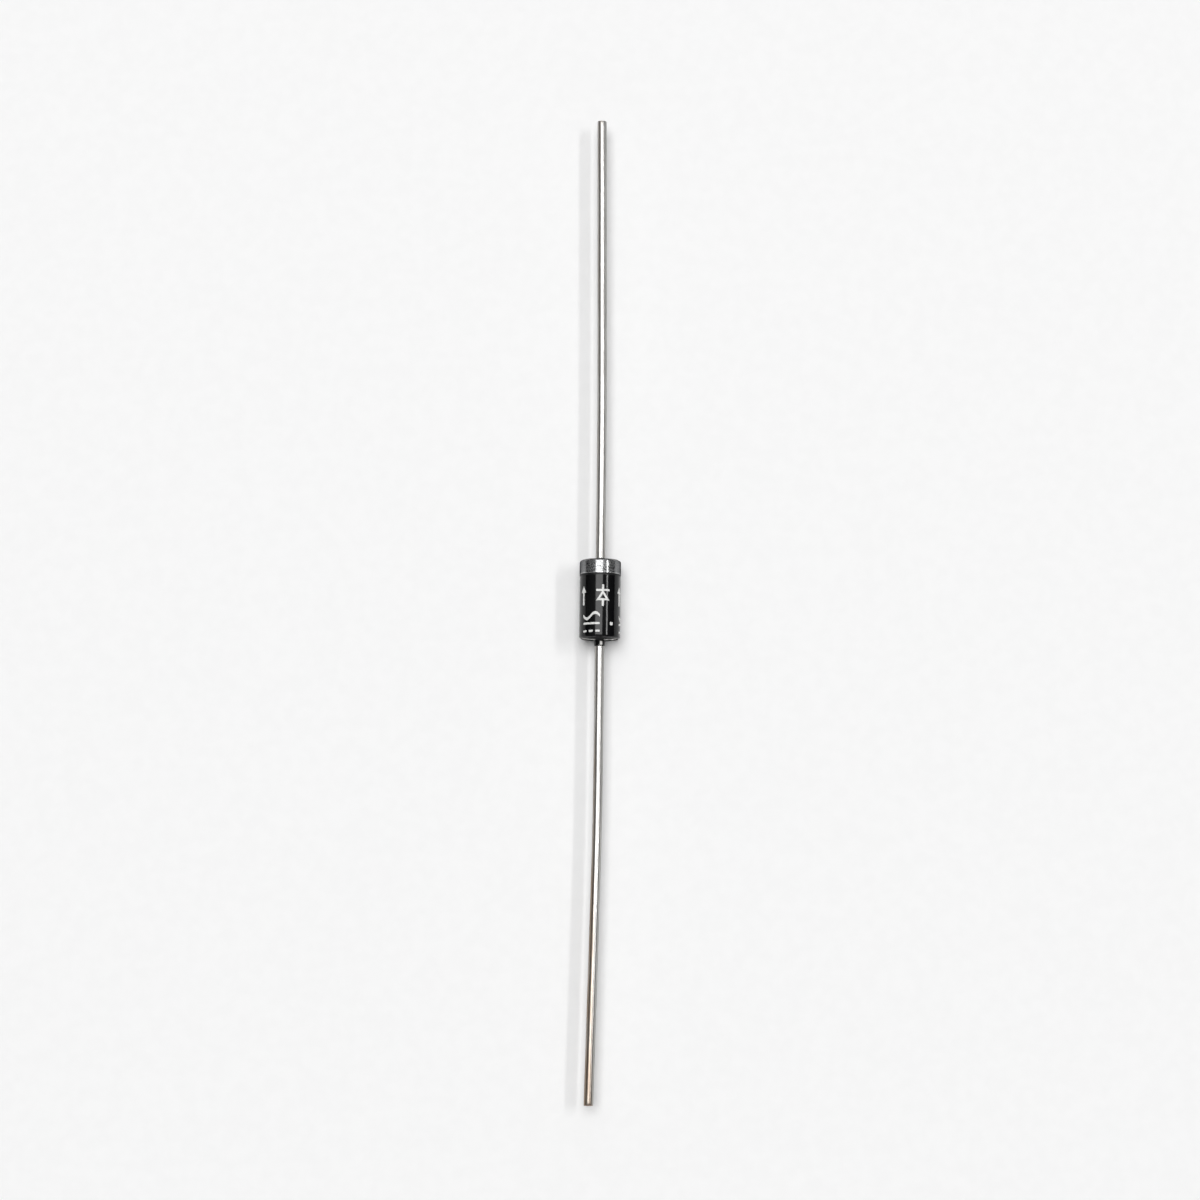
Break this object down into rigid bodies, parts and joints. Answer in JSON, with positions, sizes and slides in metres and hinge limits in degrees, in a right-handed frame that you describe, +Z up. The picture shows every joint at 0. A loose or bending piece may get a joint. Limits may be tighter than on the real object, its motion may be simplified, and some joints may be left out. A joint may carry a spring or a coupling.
{
  "type": "axial rectifier diode",
  "caption": "Moulded black epoxy cylinder holding a silicon rectifier junction, with a silver cathode band and a tinned copper wire lead out of each end.",
  "frame": {"origin": "centre of the moulded body on the wire axis, midway between the two lead tips", "axes": "+Y along the wire axis at the body, towards the cathode band; +Z up; +X across the body, so that both leads bend slightly towards -X"},
  "size_m": [0.0024, 0.0598, 0.0024],
  "materials": {
    "epoxy": "semi-gloss moulded epoxy",
    "band_ink": "silver-grey printed ink",
    "mark_ink": "white printed ink",
    "tinned_wire": "bright drawn tin plate over copper",
    "silicon": "sawn and etched silicon",
    "solder": "dull soft solder",
    "silicone": "cured white silicone"
  },
  "bodies": {
    "root": {"epoxy_body": "epoxy", "cathode_band": "band_ink", "polarity_marks": "mark_ink", "cathode_lead": "tinned_wire", "anode_lead": "tinned_wire", "silicon_die": "silicon", "cathode_solder": "solder", "anode_solder": "solder", "junction_bead": "silicone"}
  },
  "joints": []
}
